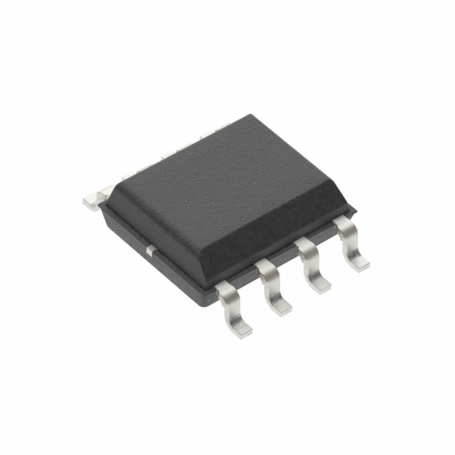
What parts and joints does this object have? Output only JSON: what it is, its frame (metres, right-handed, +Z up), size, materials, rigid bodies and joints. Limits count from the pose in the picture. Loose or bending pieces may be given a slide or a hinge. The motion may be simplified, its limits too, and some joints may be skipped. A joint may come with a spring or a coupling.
{
  "type": "pwm controller chip",
  "caption": "Surface-mount PWM controller chip: black moulded small-outline body with one bevelled long edge, tinned gull-wing leads, and a wire-bonded die inside.",
  "frame": {"origin": "centre of the land pattern, on the board's surface under the feet", "axes": "+Z up, X along the body, Y across the leads; leads 1 to 4 on the -Y side from -X to +X, under the bevelled edge, and 5 to 8 on the +Y side from +X to -X"},
  "size_m": [0.005, 0.006, 0.0017],
  "materials": {
    "mould_compound": "filled epoxy with a fine spark-eroded texture",
    "tin_plate": "matte tin plate over copper alloy",
    "pad_metal": "copper alloy with a silver spot, its cut stubs bare",
    "silver_adhesive": "silver-filled epoxy",
    "silicon": "polished and passivated",
    "gold_wire": "drawn gold wire"
  },
  "bodies": {
    "root": {"moulded_body": "mould_compound", "lead_1": "tin_plate", "lead_2": "tin_plate", "lead_3": "tin_plate", "lead_4": "tin_plate", "lead_5": "tin_plate", "lead_6": "tin_plate", "lead_7": "tin_plate", "lead_8": "tin_plate", "die_pad": "pad_metal", "die_attach": "silver_adhesive", "die": "silicon", "bond_wire_1": "gold_wire", "bond_wire_2": "gold_wire", "bond_wire_3": "gold_wire", "bond_wire_4": "gold_wire", "bond_wire_5": "gold_wire", "bond_wire_6": "gold_wire", "bond_wire_7": "gold_wire", "bond_wire_8": "gold_wire"}
  },
  "joints": []
}
